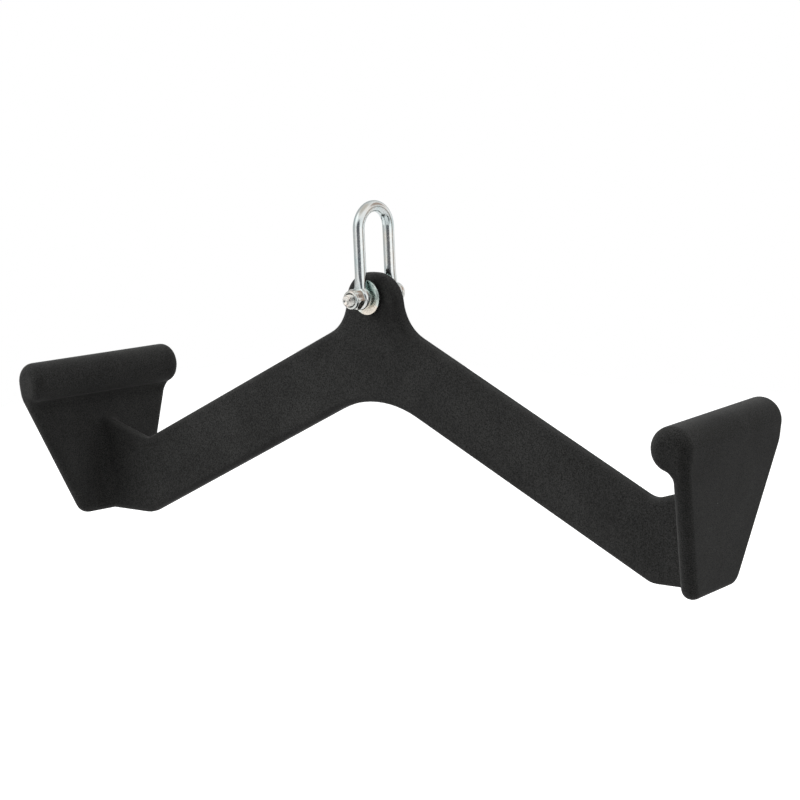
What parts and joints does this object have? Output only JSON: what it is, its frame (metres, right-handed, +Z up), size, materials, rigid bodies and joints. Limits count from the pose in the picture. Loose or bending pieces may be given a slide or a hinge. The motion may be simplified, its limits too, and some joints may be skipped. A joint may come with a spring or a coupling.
{
  "type": "row handle",
  "caption": "Rubber-skinned V-shaped cable row handle with toed-in palm plates and a shackle pinned at its middle.",
  "frame": {"origin": "crown of the shackle's bow on its inner side, where a cable hook bears", "axes": "+X to the right hand, +Y away from the viewer along the pivot bolt towards its head, +Z up the cable"},
  "size_m": [0.614, 0.1318, 0.2405],
  "materials": {
    "rubber_skin": "matte, fine moulded grain",
    "core_steel": "mill finish",
    "weld_metal": "as welded",
    "bush_steel": "turned",
    "zinc_shackle": "bright zinc plated",
    "zinc_washer": "zinc plated",
    "zinc_fastener": "zinc plated",
    "nylon": "plain"
  },
  "bodies": {
    "shackle": {"shackle": "zinc_shackle"},
    "handle": {"rubber_cover": "rubber_skin", "arm_core_plate": "core_steel", "right_palm_core_plate": "core_steel", "left_palm_core_plate": "core_steel", "right_grip_rod": "core_steel", "left_grip_rod": "core_steel", "right_weld_beads": "weld_metal", "left_weld_beads": "weld_metal", "eye_bush": "bush_steel"},
    "bolt": {"pivot_bolt": "zinc_fastener", "lock_nut": "zinc_fastener", "lock_nut_insert": "nylon"},
    "front_washer": {"front_washer": "zinc_washer"},
    "rear_washer": {"rear_washer": "zinc_washer"}
  },
  "joints": [
    {"name": "handle_swing", "type": "hinge", "parent": "shackle", "child": "handle", "pos_m": [0, 0, -0.0576], "axis": [0, 1, 0], "range_deg": [-115, 115]},
    {"name": "bolt_turn", "type": "hinge", "parent": "shackle", "child": "bolt", "pos_m": [0, 0, -0.0576], "axis": [0, 1, 0], "continuous": true},
    {"name": "front_washer_turn", "type": "hinge", "parent": "bolt", "child": "front_washer", "pos_m": [0, 0, -0.0576], "axis": [0, 1, 0], "continuous": true},
    {"name": "rear_washer_turn", "type": "hinge", "parent": "bolt", "child": "rear_washer", "pos_m": [0, 0, -0.0576], "axis": [0, 1, 0], "continuous": true}
  ]
}
